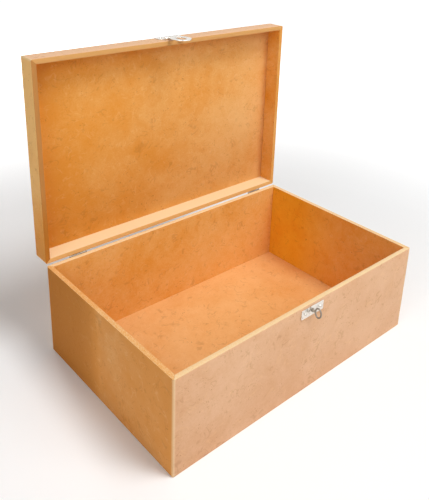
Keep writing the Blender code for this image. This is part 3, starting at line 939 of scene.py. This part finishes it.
def add_turn_ring():
    """The oval ring on its stem, riveted through the staple plate so that it turns."""
    sizes = chosen("hasp_sizes")
    low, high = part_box("turn_ring")
    plate_face = -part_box("staple_plate")[0][1]
    ring_front = -low[1]
    ring_back = ring_front - sizes.ring_depth
    wire = ring_wire_mesh(sizes)
    wire.transform(Matrix.Translation((0, -ring_back - sizes.ring_depth / 2, ring_axis.z)))
    clear = 0.0002
    easing = 0.00025
    low_end = plate_face + clear
    high_end = low_end + sizes.collar_height
    stem_end = ring_back + sizes.wire_radius
    collar = sizes.collar_radius
    profile = [
        (-high[1], 0.0),
        (-high[1], collar - clear),
        (half_depth, collar - clear),
        (half_depth, sizes.rivet_radius),
        (low_end, sizes.rivet_radius),
        (low_end, collar - easing),
        (low_end + easing, collar),
        (high_end - easing, collar),
        (high_end, collar - easing),
        (high_end + easing, sizes.stem_radius),
        (stem_end - 2 * easing, sizes.stem_radius),
        (stem_end, sizes.stem_radius - 2 * easing),
        (stem_end, 0.0),
    ]
    place = Matrix.Translation((0, 0, ring_axis.z)) @ Matrix.Rotation(math.radians(90), 4, "X")
    stem = blank_object("ring_stem", turned_mesh("ring_stem", profile, place))
    ring = blank_object("ring_wire", wire)
    joined = ring.modifiers.new("stem", "BOOLEAN")
    joined.object = stem
    joined.operation = "UNION"
    joined.solver = "EXACT"
    mesh = plain_mesh(ring)
    bpy.data.objects.remove(stem)
    mark_worn(mesh)
    add_piece("turn_ring_wire", mesh, "staple", "nickel", ["turn_ring"])


# Screws

def screw_tree(values):
    """Round-head screws with a cross recess, one at each point, each turned its own way."""
    tree, signals = new_tree("cross screws", values)
    start = Signal(tree)
    ball = start.node(
        "GeometryNodeMeshUVSphere",
        {"Segments": 32, "Rings": 20, "Radius": signals["Head radius"]})
    at = start.node("GeometryNodeInputPosition").separated()
    rise = signals["Head height"] / signals["Head radius"]
    crown = at.math("MAXIMUM", at.other("Z"), 0.0) * rise
    dome = start.combined(at, at.other("Y"), crown)
    head = start.node("GeometryNodeSetPosition", {"Geometry": ball, "Position": dome})
    head = start.node("GeometryNodeMergeByDistance", {"Geometry": head, "Distance": tiny})
    tip_share = 0.3
    shank = start.node(
        "GeometryNodeMeshCone",
        {"Vertices": 20, "Radius Top": signals["Shank radius"] * tip_share,
         "Radius Bottom": signals["Shank radius"], "Depth": signals["Shank length"]})
    into_head = 0.0001
    shank = start.node(
        "GeometryNodeTransform",
        {"Geometry": shank, "Rotation": (math.radians(180), 0, 0),
         "Translation": (0, 0, into_head)})
    arm_size = start.combined(
        signals["Cross length"], signals["Cross width"], signals["Cross depth"] * 2)
    arm = start.node("GeometryNodeMeshCube", {"Size": arm_size})
    lift = start.combined(0.0, 0.0, signals["Head height"])
    arms = [
        start.node(
            "GeometryNodeTransform",
            {"Geometry": arm, "Translation": lift, "Rotation": (0, 0, math.radians(turn))})
        for turn in (0, 90)]
    screw = head
    for operation, tool in (("UNION", shank), ("DIFFERENCE", arms[0]), ("DIFFERENCE", arms[1])):
        joined = tree.nodes.new("GeometryNodeMeshBoolean")
        joined.operation = operation
        joined.solver = "EXACT"
        tree.links.new(tool.socket, joined.inputs["Mesh 2"])
        own_input = "Mesh 2" if operation == "UNION" else "Mesh 1"
        tree.links.new(screw.socket, joined.inputs[own_input])
        screw = Signal(tree, joined.outputs["Mesh"])
    facing = start.node(
        "GeometryNodeInputNamedAttribute", {"Name": "facing"}, {"data_type": "FLOAT_VECTOR"})
    aim = start.node("FunctionNodeAlignRotationToVector", {"Vector": facing}, {"axis": "Z"})
    roll = start.node(
        "FunctionNodeRandomValue", {"Min": 0.0, "Max": math.radians(90), "Seed": signals["Seed"]},
        {"data_type": "FLOAT"}, "Value")
    spun = start.node("FunctionNodeAxisAngleToRotation", {"Axis": (0, 0, 1), "Angle": roll})
    turned = start.node(
        "FunctionNodeRotateRotation", {"Rotation": aim, "Rotate By": spun},
        {"rotation_space": "LOCAL"})
    placed = start.node(
        "GeometryNodeInstanceOnPoints",
        {"Points": signals["Geometry"], "Instance": screw, "Rotation": turned})
    close_tree(tree, placed, signals)
    return tree


def add_screws(body, nodes):
    """All screws of one body, as one mesh. Each sits where its node is."""
    sizes = chosen("screw_sizes")
    values = {label_of(name): getattr(sizes, name) for name in ScrewSizes.__annotations__}
    values["Seed"] = 3
    tree = bpy.data.node_groups.get("cross screws") or screw_tree(values)
    points = bpy.data.meshes.new(f"{body}_screws")
    seats = []
    for node in nodes:
        low, high = closed_box(node) if body == "lid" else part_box(node)
        outward = -1 if node.startswith(("hasp", "staple")) else 1
        outer_y = high[1] if outward > 0 else low[1]
        base_y = outer_y - outward * sizes.head_height
        seats.append((((low[0] + high[0]) / 2, base_y, (low[2] + high[2]) / 2), outward))
    points.from_pydata([seat for seat, outward in seats], [], [])
    facing = points.attributes.new("facing", "FLOAT_VECTOR", "POINT")
    for stored, (seat, outward) in zip(facing.data, seats):
        stored.vector = (0, outward, 0)
    mesh = grown_mesh(f"{body}_screws", points, tree, values)
    add_piece(f"{body}_screws", mesh, body, "nickel", nodes)


# Stage

white = (1.0, 1.0, 1.0)
# The place, the size and the tone of each light. All of them point at one spot.
lights = {
    "key": ((0.7, -1.6, 1.5), 1.0, (1.0, 0.995, 0.98)),
    "top": ((0.3, -0.75, 2.1), 0.9, white),
    "fill": ((-1.35, -0.6, 0.9), 1.2, white),
    "rear": ((0.3, 2.0, 0.25), 0.4, white),
}
lit_spot = Vector((0.0, 0.0, 0.15))
# The floor's own light begins and is full at these shares of its fade
fade_share = (0.45, 1.4)
# How far the floor lies below the box's base
floor_drop = 0.0004
# The photograph's camera, solved from the box's own edges
camera_place = (-0.4942, -0.5089, 0.5471)
camera_turn = (
    (0.7489, 0.2058, -0.6299),
    (-0.6617, 0.2820, -0.6947),
    (0.0346, 0.9371, 0.3473),
)
camera_shift = (-0.015513, -0.222298)
sensor_side = 36.0


def add_lights(settings):
    for name, (place, size, tone) in lights.items():
        light = bpy.data.lights.new(f"{name}_light", "AREA")
        light.shape = "DISK"
        light.size = size
        light.energy = getattr(settings, f"{name}_power")
        light.color = tone
        obj = blank_object(f"{name}_light", light)
        obj.visible_camera = False
        obj.location = place
        obj.rotation_euler = (lit_spot - Vector(place)).to_track_quat("-Z", "Y").to_euler()


def seen_directly(start):
    """1 on rays from the camera, and on mirrored and refracted ones, else 0."""
    path = start.node("ShaderNodeLightPath", output="Is Camera Ray")
    seen = path.math("MAXIMUM", path, path.other("Is Glossy Ray"))
    return path.math("MAXIMUM", seen, path.other("Is Transmission Ray"))


def add_world(settings):
    world = bpy.data.worlds.new("white_room")
    world.use_nodes = True
    bpy.context.scene.world = world
    start = Signal(world.node_tree)
    strength = seen_directly(start) * (1.0 - settings.ambient) + settings.ambient
    start.feed(world.node_tree.nodes["Background"], {"Color": opaque(white), "Strength": strength})


def add_floor(settings):
    material, shader = new_material("white_floor")
    start = Signal(material.node_tree)
    place = start.node("ShaderNodeTexCoord", output="Object")
    away = start.node("ShaderNodeVectorMath", {0: place}, {"operation": "LENGTH"}, "Value")
    begin, full = [settings.floor_fade * share_of_fade for share_of_fade in fade_share]
    start.feed(shader, {
        "Base Color": opaque([settings.floor_tone] * 3), "Roughness": 0.9,
        "Specular IOR Level": 0.1, "Emission Color": opaque(white),
        "Emission Strength": seen_directly(start) * (away.rise(begin, full) * settings.floor_lift)})
    bm = bmesh.new()
    bmesh.ops.create_grid(bm, x_segments=1, y_segments=1, size=settings.floor_size / 2)
    bmesh.ops.translate(bm, vec=(0, 0, -floor_drop), verts=bm.verts)
    mesh = bm_to_mesh("stage_floor", bm)
    mesh.materials.append(material)
    blank_object("stage_floor", mesh)


def add_camera(settings):
    camera = bpy.data.cameras.new("camera")
    camera.sensor_fit = "VERTICAL"
    camera.sensor_height = sensor_side
    camera.sensor_width = sensor_side
    camera.lens = settings.focal_length * 1000
    camera.shift_x, camera.shift_y = camera_shift
    camera.clip_start = 0.01
    obj = blank_object("camera", camera)
    obj.location = camera_place
    obj.rotation_euler = Matrix(camera_turn).to_euler()
    bpy.context.scene.camera = obj


# Operators, one for each piece or group of like pieces

class MDFBOX_OT_body(bpy.types.Operator):
    """Build the four mitred walls and the floor panel"""
    bl_idname = "mdf_box.body"
    bl_label = "Body boards"

    def execute(self, context):
        looks = {
            "front": dict(tone=[(0.0, 0.0), (1.0, 0.35)], outside=0.0, inside=1.0),
            # The right wall's deep orange towards its back end is painted shade of its inside
            # corner with the back wall
            "right": dict(
                tone=[(0.0, -0.2), (0.6, 0.15), (0.8, 0.2), (1.0, 0.15)], outside=0.3, inside=1.0,
                rich=[(0.0, 0.0), (0.4, 0.0), (0.75, 0.9), (1.0, 0.9)]),
            "back": dict(tone=[(0.0, 0.15), (1.0, 0.0)], outside=0.4, inside=0.95),
            # The left wall's low tone and deep orange are partly the board's own stain, darkest at
            # its back end, and partly painted shade: the deeper, more saturated colour of a side
            # facing away from the lights
            "left": dict(
                tone=[(0.0, -2.1), (0.3, -1.7), (0.4, -1.3), (0.45, -0.6), (1.0, -0.7)],
                outside=0.65, inside=1.0, rich=[(0.0, 0.8), (0.3, 0.5), (0.5, 0.0), (1.0, 0.0)]),
            "panel": dict(tone=[(0.0, 0.25), (1.0, 0.35)], outside=0.5, inside=0.75),
        }
        add_tray(
            "box", "{}_wall", (wall_low, wall_high), False, "floor_panel",
            (floor_low, floor_high), looks)
        return {"FINISHED"}


class MDFBOX_OT_lid(bpy.types.Operator):
    """Build the four mitred rails and the panel of the lid"""
    bl_idname = "mdf_box.lid"
    bl_label = "Lid boards"

    def execute(self, context):
        looks = {
            "front": dict(tone=[(0.0, 1.2), (1.0, 1.2)], outside=0.0, inside=1.0, cut=2.0),
            "right": dict(tone=[(0.0, -0.2), (1.0, 0.0)], outside=0.2, inside=1.0, cut=1.6),
            "back": dict(
                tone=[(0.0, 1.2), (1.0, 1.2)], outside=0.4, inside=0.0, cut=1.5,
                inside_is_cut=True),
            "left": dict(
                tone=[(0.0, -1.1), (0.4, 0.45), (1.0, 1.35)], outside=0.65, inside=1.0, cut=2.5,
                rich=[(0.0, 0.25), (1.0, 0.25)]),
            "panel": dict(
                tone=[(0.0, -0.6), (0.5, -0.1), (1.0, 0.2)], outside=0.4, inside=0.8,
                rich=[(0.0, 0.2), (1.0, 0.0)]),
        }
        add_tray(
            "lid", "lid_{}_rail", (rail_low, rail_high), True, "lid_panel",
            (panel_low, panel_high), looks)
        return {"FINISHED"}


class MDFBOX_OT_hinges(bpy.types.Operator):
    """Build the leaves and the pins of the two stop hinges"""
    bl_idname = "mdf_box.hinges"
    bl_label = "Hinges"

    def execute(self, context):
        for tag in ("left", "right"):
            add_hinge(tag)
        return {"FINISHED"}


class MDFBOX_OT_hasp(bpy.types.Operator):
    """Build the hasp's plate, its pin and its slotted flap"""
    bl_idname = "mdf_box.hasp"
    bl_label = "Hasp"

    def execute(self, context):
        add_hasp_plate()
        add_flap()
        return {"FINISHED"}


class MDFBOX_OT_staple(bpy.types.Operator):
    """Build the staple's plate and its turning ring"""
    bl_idname = "mdf_box.staple"
    bl_label = "Staple"

    def execute(self, context):
        add_staple_plate()
        add_turn_ring()
        return {"FINISHED"}


class MDFBOX_OT_screws(bpy.types.Operator):
    """Build the screws of the hinges, the hasp and the staple"""
    bl_idname = "mdf_box.screws"
    bl_label = "Screws"

    def execute(self, context):
        for body in ("box", "lid"):
            nodes = [
                name for name in frame["record"]["behaviour"]["bodies"][body] if "_screw_" in name
            ]
            add_screws(body, nodes)
        return {"FINISHED"}


class MDFBOX_OT_stage(bpy.types.Operator):
    """Add the white floor, the lights and the camera"""
    bl_idname = "mdf_box.stage"
    bl_label = "Stage"

    def execute(self, context):
        settings = chosen("stage")
        add_world(settings)
        add_floor(settings)
        add_lights(settings)
        add_camera(settings)
        context.scene.view_settings.view_transform = "Standard"
        return {"FINISHED"}


operators = (
    MDFBOX_OT_body, MDFBOX_OT_lid, MDFBOX_OT_hinges, MDFBOX_OT_hasp, MDFBOX_OT_staple,
    MDFBOX_OT_screws, MDFBOX_OT_stage,
)
groups = {
    "mdf_box_board_sizes": BoardSizes,
    "mdf_box_board_finish": BoardFinish,
    "mdf_box_hinge_sizes": HingeSizes,
    "mdf_box_hasp_sizes": HaspSizes,
    "mdf_box_screw_sizes": ScrewSizes,
    "mdf_box_metal_finish": MetalFinish,
    "mdf_box_stage": StageSettings,
}


class MDFBOX_PT_pieces(bpy.types.Panel):
    """Lists the pieces of the box and the sizes and colours behind them"""
    bl_idname = "MDFBOX_PT_pieces"
    bl_label = "Hinged MDF box"
    bl_space_type = "VIEW_3D"
    bl_region_type = "UI"
    bl_category = "MDF box"

    def draw(self, context):
        for operator in operators:
            self.layout.operator(operator.bl_idname)
        for name, group in groups.items():
            box = self.layout.box()
            box.label(text=group.__name__)
            for entry in group.__annotations__:
                box.prop(getattr(context.scene, name), entry)


def register():
    for name, group in groups.items():
        bpy.utils.register_class(group)
        setattr(bpy.types.Scene, name, bpy.props.PointerProperty(type=group))
    for kind in (*operators, MDFBOX_PT_pieces):
        bpy.utils.register_class(kind)


def unregister():
    for kind in reversed((*operators, MDFBOX_PT_pieces)):
        bpy.utils.unregister_class(kind)
    for name, group in groups.items():
        delattr(bpy.types.Scene, name)
        bpy.utils.unregister_class(group)


def main():
    register()
    bpy.ops.mdf_box.body()
    bpy.ops.mdf_box.lid()
    bpy.ops.mdf_box.hinges()
    bpy.ops.mdf_box.hasp()
    bpy.ops.mdf_box.staple()
    bpy.ops.mdf_box.screws()
    bpy.ops.mdf_box.stage()


if __name__ == "__main__":
    main()
